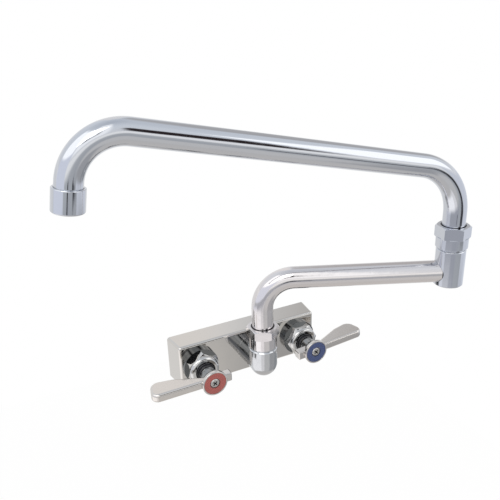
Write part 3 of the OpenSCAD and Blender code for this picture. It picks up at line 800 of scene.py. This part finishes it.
@dataclass
class Lever:
    """A paddle lever: a turned hub with a flared disc, a broad paddle and a short square tail.

    Attributes:
        node: The frame node that the lever stands for.
        body: The body that it rides on.
        axis_mm: Place of the valve axis along X.
        reach_sign: 1 where the paddle points to +X and -1 where it points to -X.
        tilt_deg: Rise of the paddle at its tip.
        hub_mm: Radius and depth pairs of the hub's section, round its outside and back through its bore.
        discs_mm: Radius, reach and depth of the discs that span the paddle.
        thickness_mm: Thickness of the paddle and of the tail.
        tail_mm: Reach and width of the tail.
        front_mm: Depth of the lever's front edge.
        paddle_edge_mm: Rounding of the paddle's edges.
        hub_edge_mm: Rounding of the hub's edges.
        tail_edge_mm: Rounding of the tail's edges.
        round_deg: Edges that turn by more than this are rounded.
        sharp_deg: Edges that turn by more than this stay sharp.
        steps: Segments of a rounding.
        sides: Sides of the hub and of the paddle's discs.
        outline_deg: Edges of the paddle that turn by less than this are taken out.
        neck_half_mm: Half the size of the hub's neck.
        neck_depth_mm: Depths between which the neck and its flare lie, which are painted darker as
            reflected shade.
    """

    node: str
    body: Body
    axis_mm: float
    reach_sign: int
    tilt_deg: float = 0.0
    hub_mm: Sequence[tuple[float, float]] = (
        (6.1, 41.4),
        (6.9, 42.2),
        (6.9, 49.0),
        (11.4, 55.6),
        (11.4, 58.1),
        (11.0, 58.5),
        (10.1, 58.5),
        (10.1, 56.95),
        (4.45, 56.95),
        (4.45, 55.95),
        (2.05, 55.95),
        (2.05, 49.4),
        (4.5, 49.4),
        (4.5, 41.4),
    )
    discs_mm: Sequence[tuple[float, float, float]] = (
        (2.75, 4.0, 53.25),
        (8.0, 34.56, 46.3),
        (8.0, 44.7, 44.5),
        (6.0, 48.0, 50.0),
    )
    thickness_mm: float = 8.0
    tail_mm: tuple[float, float] = (17.0, 8.0)
    front_mm: float = 56.0
    paddle_edge_mm: float = 2.3
    hub_edge_mm: float = 0.2
    tail_edge_mm: float = 1.1
    round_deg: float = 28.0
    sharp_deg: float = 26.0
    steps: int = 5
    sides: int = 96
    outline_deg: float = 0.3
    neck_half_mm: float = 12.0
    neck_depth_mm: Span = (41.0, 55.3)

    def build(self, finishes: Finishes) -> None:
        """Build the three forms, dress them and join them.

        Args:
            finishes: The finishes.
        """
        hub, paddle, tail = self.hub(), self.paddle(), self.tail()
        for part, edge, finish in (
            (hub, self.hub_edge_mm, HUB_STEEL),
            (paddle, self.paddle_edge_mm, PADDLE_STEEL),
            (tail, self.tail_edge_mm, HUB_STEEL),
        ):
            Bench.break_edges(part, edge, self.steps, self.round_deg)
            Bench.smooth(part, self.sharp_deg)
            finishes.dress(part, finish)
        # The hub's neck and flare are painted darker, standing in for dark reflections.
        neck = Accent.around(HUB_NECK_PAINTED_SHADE, self.axis_mm, self.neck_half_mm, self.neck_depth_mm)
        neck.apply(hub, finishes)
        Bench.clear()
        for part in (tail, paddle, hub):
            part.select_set(True)
        bpy.context.view_layer.objects.active = hub
        bpy.ops.object.join()
        hub.name = f"{self.node}_finished"
        axis = Vector((self.axis_mm * MM, 0, 0))
        turn = Matrix.Rotation(math.radians(-self.tilt_deg * self.reach_sign), 4, "Y")
        hub.matrix_world = Matrix.Translation(axis) @ turn @ Matrix.Translation(-axis)
        Bench.settle(hub)
        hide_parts(self.node)
        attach(hub, self.body.value)
        LOG.info("%s: %d faces", hub.name, len(hub.data.polygons))

    def hub(self) -> bpy.types.Object:
        """Turn the hub's section about the valve axis.

        Returns:
            The hub.
        """
        radius, depth = self.hub_mm[0]
        Bench.clear()
        bpy.ops.mesh.primitive_circle_add(
            vertices=self.sides,
            radius=radius * MM,
            location=(self.axis_mm * MM, -depth * MM, 0),
            rotation=(math.radians(90), 0, 0),
        )
        piece = bpy.context.active_object
        Bench.settle(piece)
        bpy.ops.object.mode_set(mode="EDIT")
        bpy.ops.mesh.select_all(action="SELECT")
        following = [*self.hub_mm[1:], self.hub_mm[0]]
        for (radius, depth), (next_radius, next_depth) in zip(self.hub_mm, following):
            step = (0, (depth - next_depth) * MM, 0)
            bpy.ops.mesh.extrude_region_move(TRANSFORM_OT_translate={"value": step})
            share = next_radius / radius
            bpy.ops.transform.resize(
                value=(share, 1, share), center_override=(self.axis_mm * MM, -next_depth * MM, 0)
            )
        bpy.ops.mesh.select_all(action="SELECT")
        bpy.ops.mesh.remove_doubles(threshold=MERGE_DISTANCE)
        bpy.ops.mesh.normals_make_consistent(inside=False)
        bpy.ops.object.mode_set(mode="OBJECT")
        return piece

    def paddle(self) -> bpy.types.Object:
        """Span the paddle's discs with one smooth outline.

        Returns:
            The paddle.
        """
        Bench.clear()
        piece = None
        for radius, reach, depth in self.discs_mm:
            place = ((self.axis_mm + self.reach_sign * reach) * MM, -depth * MM, 0)
            bpy.ops.mesh.primitive_cylinder_add(
                vertices=self.sides, radius=radius * MM, depth=self.thickness_mm * MM, location=place
            )
            if piece is None:
                piece = bpy.context.active_object
                Bench.settle(piece)
                bpy.ops.object.mode_set(mode="EDIT")
        bpy.ops.mesh.select_all(action="SELECT")
        bpy.ops.mesh.convex_hull(join_triangles=False)
        bpy.ops.mesh.select_all(action="SELECT")
        bpy.ops.mesh.dissolve_limited(angle_limit=math.radians(self.outline_deg))
        bpy.ops.mesh.normals_make_consistent(inside=False)
        bpy.ops.object.mode_set(mode="OBJECT")
        return piece

    def tail(self) -> bpy.types.Object:
        """Add the short square tail.

        Returns:
            The tail.
        """
        reach, width = self.tail_mm
        middle = self.axis_mm - self.reach_sign * reach / 2
        Bench.clear()
        bpy.ops.mesh.primitive_cube_add(
            size=1,
            location=(middle * MM, -(self.front_mm - width / 2) * MM, 0),
            scale=(reach * MM, width * MM, self.thickness_mm * MM),
        )
        piece = bpy.context.active_object
        Bench.settle(piece)
        return piece


@dataclass
class Valve:
    """One quarter-turn valve with its lever.

    Attributes:
        side: Prefix of its nodes, hot or cold.
        lever: The body of its moving pieces.
        handle: Its lever.
        enamel: Finish of its index ring.
        enamel_slot: The index ring's material slot.
        cross_half_mm: Half the size of the screw's cross.
        cross_depth_mm: Depths between which the cross lies, whose faces are painted near black as recess
            shade.
        flats_half_mm: Half the size of the bonnet nut.
        flats_depth_mm: Depths between which its flats and collar lie, which are painted dark as reflected
            shade.
        nut_edge_mm: Rounding of the bonnet nut's edges.
        ring_edge_mm: Rounding of the index ring's edges.
        screw_edge_mm: Rounding of the screw's edges.
    """

    side: str
    lever: Body
    handle: Lever
    enamel: Moulded
    enamel_slot: str
    cross_half_mm: float = 2.5
    cross_depth_mm: Span = (56.5, 58.2)
    flats_half_mm: float = 17.0
    flats_depth_mm: Span = (22.9, 33.1)
    nut_edge_mm: float = 0.4
    ring_edge_mm: float = 0.2
    screw_edge_mm: float = 0.1

    def build(self, frame: dict, finishes: Finishes) -> None:
        """Build the valve's finished pieces and dress its inner ones.

        Args:
            frame: The loaded frame.
            finishes: The finishes.
        """
        axis = self.handle.axis_mm
        # The screw's cross is painted near black as the shade inside its recess.
        cross = [Accent.around(CROSS_PAINTED_SHADE, axis, self.cross_half_mm, self.cross_depth_mm)]
        # The nut's flats and collar are painted dark, standing in for dark reflections.
        flats = [Accent.around(NUT_FLATS_PAINTED_SHADE, axis, self.flats_half_mm, self.flats_depth_mm)]
        nut, ring, screw = (f"{self.side}_{name}" for name in ("bonnet_nut", "index_ring", "handle_screw"))
        for piece in (
            SoftenedPiece(nut, Body.BODY, NUT_CHROME, "chrome", self.nut_edge_mm, accents=flats),
            SoftenedPiece(ring, self.lever, self.enamel, self.enamel_slot, self.ring_edge_mm),
            SoftenedPiece(screw, self.lever, SCREW_STEEL, "chrome", self.screw_edge_mm, accents=cross),
        ):
            piece.build(frame, finishes)
        self.handle.build(finishes)
        inner = {
            "cartridge": DARK_ACETAL,
            "cartridge_ring": RUBBER,
            "seat_seal": RUBBER,
            "fixed_disc": ALUMINA,
            "moving_disc": ALUMINA,
            "stem": TURNED_BRASS,
            "stem_rings": RUBBER,
        }
        for node, finish in inner.items():
            finishes.dress(frame["nodes"][f"{self.side}_{node}"], finish)


@dataclass(frozen=True)
class Panel:
    """A soft box or a dark flag round the object, seen only in reflections and as light.

    Attributes:
        left_deg: Its left edge, measured from -Y towards +X.
        right_deg: Its right edge.
        low_deg: Its lower edge, over the level.
        high_deg: Its upper edge.
        colour: Its colour, sRGB hex.
        strength: Its brightness.
        soft_deg: Width of its soft border.
    """

    left_deg: float
    right_deg: float
    low_deg: float
    high_deg: float
    colour: str
    strength: float
    soft_deg: float


@dataclass
class Studio:
    """Camera, plain floor, lamp and the room that the metal mirrors.

    Attributes:
        azimuth_deg: Camera's azimuth round the object.
        elevation_deg: Camera's elevation.
        roll_deg: Camera's roll.
        distance_mm: Distance from the camera to its target.
        target_mm: The point that the camera looks at.
        focal_px: Focal length in pixels of a picture 500 pixels wide.
        floor_mm: Height of the floor.
        floor_half_m: Half the floor's width.
        picture_px: Width of the picture.
        sensor_mm: Width of the camera's sensor.
        clip_m: Nearest and farthest distance that the camera sees.
        room_strength: Brightness of the room.
        floor_glow: Share of plain white that the camera sees of the floor, the rest being its shadows.
        lamp_place_m: Place of the soft lamp.
        lamp_aim_m: The point that it faces.
        lamp_size_m: Its width.
        lamp_power_w: Its power.
        heights: Elevation and colour pairs of the room's plain tone.
        panels: Its soft boxes and flags.
    """

    azimuth_deg: float = -26.3
    elevation_deg: float = 22.0
    roll_deg: float = -1.7
    distance_mm: float = 493.1
    target_mm: Point = (-5.2, -40.0, 106.8)
    focal_px: float = 586.9
    floor_mm: float = -200.0
    floor_half_m: float = 0.3
    picture_px: float = 500.0
    sensor_mm: float = 36.0
    clip_m: Span = (0.01, 50.0)
    room_strength: float = 1.3
    floor_glow: float = 0.97
    lamp_place_m: Point = (-0.9, -1.1, 1.5)
    lamp_aim_m: Point = (0.0, -0.05, 0.08)
    lamp_size_m: float = 0.9
    lamp_power_w: float = 5.0
    heights: Sequence[tuple[float, str]] = (
        (-90, "C9C5C1"),
        (-42, "C4C2C0"),
        (-28, "B2B4B6"),
        (-20, "AEB0B3"),
        (-9, "B7B9BB"),
        (-2, "F3F2F0"),
        (6, "F7F6F4"),
        (13, "DFE0E2"),
        (50, "DCE0E5"),
        (90, "BDC2CA"),
    )
    panels: Sequence[Panel] = (
        Panel(-180, -118, -55, 8, "FFFFFF", 0.74, 12),
        Panel(118, 180, -55, 10, "FFFFFF", 0.74, 12),
        Panel(104, 151, 14, 62, "FAF8F8", 0.48, 18),
        Panel(157, 180, 14, 62, "FFFDFC", 0.8, 8),
        Panel(-112, -50, 20, 62, "FFFFFF", 1.25, 8),
        Panel(-115, -46, -12, 22, "F1F4FF", 0.84, 6),
        Panel(-134, -84, -27, -18, "F4F6FF", 0.72, 7),
        Panel(-86, -8, -27, -14, "F4F6FF", 0.44, 8),
        Panel(40, 120, -27, 8, "F4F7FF", 0.76, 6),
        Panel(-124, -42, -55, -26, "FFFDFD", 1.08, 14),
        Panel(-42, -18, -55, -27, "FFFCFC", 0.84, 9),
        Panel(-18, 25, -55, -28, "FDFBF9", 0.6, 10),
        Panel(26, 75, -55, -26, "F6F6F8", 0.42, 12),
        Panel(75, 128, -50, -27, "F0F4F8", 0.34, 8),
        Panel(-45, -8, 14, 72, "FFFFFF", 1.05, 6),
        Panel(31, 74, 13, 46, "FFFFFF", 1.3, 5),
        Panel(3, 27, 11, 32, "2E2628", 1.0, 6),
        Panel(-38, -18, 27, 43, "26262A", 1.0, 7),
        Panel(12, 36, -20, -16, "3A3A3E", 1.0, 3),
        Panel(30, 36, -18, -9, "2A2A2E", 1.0, 3),
        Panel(-23, -17, -19, -11, "0C0C10", 1.0, 3),
    )

    def build(self) -> None:
        """Set up the camera, the floor, the lamp and the room."""
        bpy.context.scene.view_settings.view_transform = "Standard"
        self.add_camera()
        self.add_floor()
        self.add_room()
        self.add_lamp()

    def add_camera(self) -> None:
        """Place the camera that the photograph was taken from."""
        az, el, roll = (math.radians(a) for a in (self.azimuth_deg, self.elevation_deg, self.roll_deg))
        back = Vector((math.sin(az) * math.cos(el), -math.cos(az) * math.cos(el), math.sin(el)))
        right = Vector((math.cos(az), math.sin(az), 0.0))
        up = back.cross(right)
        rolled_right = right * math.cos(roll) + up * math.sin(roll)
        rolled_up = up * math.cos(roll) - right * math.sin(roll)
        place = (Vector(self.target_mm) + back * self.distance_mm) * MM
        data = bpy.data.cameras.new("camera")
        data.sensor_width = self.sensor_mm
        data.lens = self.focal_px / self.picture_px * self.sensor_mm
        data.clip_start, data.clip_end = self.clip_m
        camera = bpy.data.objects.new("camera", data)
        turn = Matrix((rolled_right, rolled_up, back)).transposed().to_4x4()
        camera.matrix_world = Matrix.Translation(place) @ turn
        bpy.context.scene.collection.objects.link(camera)
        bpy.context.scene.camera = camera

    def add_floor(self) -> None:
        """Add the pale floor, white to the camera, with the object's shadow on it.

        The metal sees the room's own tone through it, so that no edge of the floor shows in a mirror.
        """
        Bench.clear()
        bpy.ops.mesh.primitive_plane_add(size=2 * self.floor_half_m, location=(0, 0, self.floor_mm * MM))
        floor = bpy.context.active_object
        floor.name = "floor"
        material = bpy.data.materials.new("pale_floor")
        material.use_nodes = True
        tree = material.node_tree
        tree.nodes.clear()
        path = add_node(tree, "ShaderNodeLightPath")
        matt = add_node(tree, "ShaderNodeBsdfDiffuse", {"Color": linear(PALE_FLOOR)})
        glow = add_node(tree, "ShaderNodeEmission", {"Color": linear(WHITE), "Strength": 1.0})
        shown = add_node(
            tree,
            "ShaderNodeMixShader",
            {0: self.floor_glow, 1: matt.outputs["BSDF"], 2: glow.outputs["Emission"]},
        )
        clear = add_node(tree, "ShaderNodeBsdfTransparent")
        rest = add_node(
            tree,
            "ShaderNodeMixShader",
            {0: path.outputs["Is Glossy Ray"], 1: matt.outputs["BSDF"], 2: clear.outputs["BSDF"]},
        )
        surface = add_node(
            tree,
            "ShaderNodeMixShader",
            {0: path.outputs["Is Camera Ray"], 1: rest.outputs["Shader"], 2: shown.outputs["Shader"]},
        )
        add_node(tree, "ShaderNodeOutputMaterial", {"Surface": surface.outputs["Shader"]})
        floor.data.materials.append(material)

    def add_room(self) -> None:
        """Light the object from a pale room with soft boxes and dark flags, white to the camera."""
        world = bpy.data.worlds.new("room")
        bpy.context.scene.world = world
        world.use_nodes = True
        tree = world.node_tree
        tree.nodes.clear()
        direction = add_node(tree, "ShaderNodeTexCoord").outputs["Generated"]
        parts = add_node(tree, "ShaderNodeSeparateXYZ", {0: direction})
        forward = add_node(tree, "ShaderNodeMath", {0: parts.outputs["Y"], 1: -1.0}, operation="MULTIPLY")
        azimuth = add_node(
            tree, "ShaderNodeMath", {0: parts.outputs["X"], 1: forward.outputs[0]}, operation="ARCTAN2"
        )
        elevation = add_node(tree, "ShaderNodeMath", {0: parts.outputs["Z"]}, operation="ARCSINE")
        share = add_node(
            tree,
            "ShaderNodeMapRange",
            {"Value": elevation.outputs[0], "From Min": math.radians(-90), "From Max": math.radians(90)},
        )
        plain = add_node(tree, "ShaderNodeValToRGB", {"Fac": share.outputs["Result"]})
        stops = plain.color_ramp.elements
        while len(stops) < len(self.heights):
            stops.new(0.5)
        for stop, (height, tone) in zip(stops, self.heights):
            stop.position, stop.color = (height + 90) / 180, linear(tone)
        colour = plain.outputs["Color"]
        for panel in self.panels:
            soft = panel.soft_deg
            across = self.window(tree, azimuth.outputs[0], panel.left_deg, panel.right_deg, soft)
            upright = self.window(tree, elevation.outputs[0], panel.low_deg, panel.high_deg, soft)
            mask = add_node(tree, "ShaderNodeMath", {0: across, 1: upright}, operation="MULTIPLY")
            glow = [channel * panel.strength for channel in linear(panel.colour)[:3]]
            mixed = add_node(
                tree,
                "ShaderNodeMix",
                {"Factor": mask.outputs[0], "A": colour, "B": (*glow, 1.0)},
                data_type="RGBA",
            )
            colour = mixed.outputs["Result"]
        room = add_node(tree, "ShaderNodeBackground", {"Color": colour, "Strength": self.room_strength})
        white = add_node(tree, "ShaderNodeBackground", {"Color": linear(WHITE), "Strength": 1.0})
        path = add_node(tree, "ShaderNodeLightPath")
        seen = add_node(
            tree,
            "ShaderNodeMixShader",
            {0: path.outputs["Is Camera Ray"], 1: room.outputs[0], 2: white.outputs[0]},
        )
        add_node(tree, "ShaderNodeOutputWorld", {"Surface": seen.outputs["Shader"]})

    @staticmethod
    def window(
        tree: bpy.types.NodeTree,
        angle: bpy.types.NodeSocket,
        low_deg: float,
        high_deg: float,
        soft_deg: float,
    ) -> bpy.types.NodeSocket:
        """Mask the directions between two angles.

        Args:
            tree: The node tree.
            angle: The angle, in radians.
            low_deg: Lower limit.
            high_deg: Upper limit.
            soft_deg: Width of the soft border.

        Returns:
            1 between the limits and 0 outside them.
        """
        low, high, soft = (math.radians(a) for a in (low_deg, high_deg, soft_deg))
        sides = []
        for edge, before, after in ((low, 0.0, 1.0), (high, 1.0, 0.0)):
            side = add_node(
                tree,
                "ShaderNodeMapRange",
                {
                    "Value": angle,
                    "From Min": edge - soft / 2,
                    "From Max": edge + soft / 2,
                    "To Min": before,
                    "To Max": after,
                },
                interpolation_type="SMOOTHSTEP",
            )
            sides.append(side.outputs["Result"])
        both = add_node(tree, "ShaderNodeMath", {0: sides[0], 1: sides[1]}, operation="MULTIPLY")
        return both.outputs[0]

    def add_lamp(self) -> None:
        """Add the soft lamp that faces the object."""
        data = bpy.data.lights.new("key", "AREA")
        data.size = self.lamp_size_m
        data.energy = self.lamp_power_w
        lamp = bpy.data.objects.new("key", data)
        lamp.location = self.lamp_place_m
        lamp.rotation_mode = "QUATERNION"
        facing = Vector(self.lamp_aim_m) - Vector(self.lamp_place_m)
        lamp.rotation_quaternion = facing.to_track_quat("-Z", "Y")
        bpy.context.scene.collection.objects.link(lamp)


@dataclass
class Casting:
    """The cast body, whose outlet has a finish of its own and whose neck is painted dark as shade, and the
    two valves in it.

    Attributes:
        edge_mm: Rounding of its edges.
        valve_axis_mm: Distance of each valve axis from the middle.
        cold_rise_deg: Rise of the cold lever's paddle.
        outlet_half_mm: Half the width of the boxes round the outlet and its neck.
        outlet_depth_mm: Depths between which the outlet lies.
        outlet_height_mm: Heights between which it lies.
        neck_depth_mm: Depths between which the neck behind it lies, whose faces are painted dark as shade.
        neck_height_mm: Heights between which the neck lies.
    """

    edge_mm: float = 0.5
    valve_axis_mm: float = 50.8
    cold_rise_deg: float = 4.0
    outlet_half_mm: float = 13.0
    outlet_depth_mm: Span = (42.0, 70.0)
    outlet_height_mm: Span = (-20.0, 40.0)
    neck_depth_mm: Span = (23.1, 42.0)
    neck_height_mm: Span = (-20.0, 15.0)

    def build(self, frame: dict, finishes: Finishes) -> None:
        """Build the body and the valves.

        Args:
            frame: The loaded frame.
            finishes: The finishes.
        """
        half = self.outlet_half_mm
        accents = [
            Accent.around(OUTLET_STEEL, 0.0, half, self.outlet_depth_mm, self.outlet_height_mm),
            # The neck's faces are painted dark as the shade between the outlet cup and the body.
            Accent.around(NECK_PAINTED_SHADE, 0.0, half, self.neck_depth_mm, self.neck_height_mm),
        ]
        SoftenedPiece(
            "valve_body", Body.BODY, CAST_STEEL, "satin_steel", self.edge_mm, accents=accents
        ).build(frame, finishes)
        hot_lever = Lever("hot_handle", Body.HOT_LEVER, -self.valve_axis_mm, reach_sign=-1)
        cold_lever = Lever(
            "cold_handle", Body.COLD_LEVER, self.valve_axis_mm, reach_sign=1, tilt_deg=self.cold_rise_deg
        )
        Valve("hot", Body.HOT_LEVER, hot_lever, RED_ENAMEL, "red_plastic").build(frame, finishes)
        Valve("cold", Body.COLD_LEVER, cold_lever, BLUE_ENAMEL, "blue_plastic").build(frame, finishes)


def main() -> None:
    """Load the frame and build the faucet's looks round it."""
    logging.basicConfig(level=logging.INFO, format="%(message)s")
    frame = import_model()
    finishes = Finishes()
    Studio().build()
    Casting().build(frame, finishes)
    Spout().build(frame, finishes)


if __name__ == "__main__":
    main()
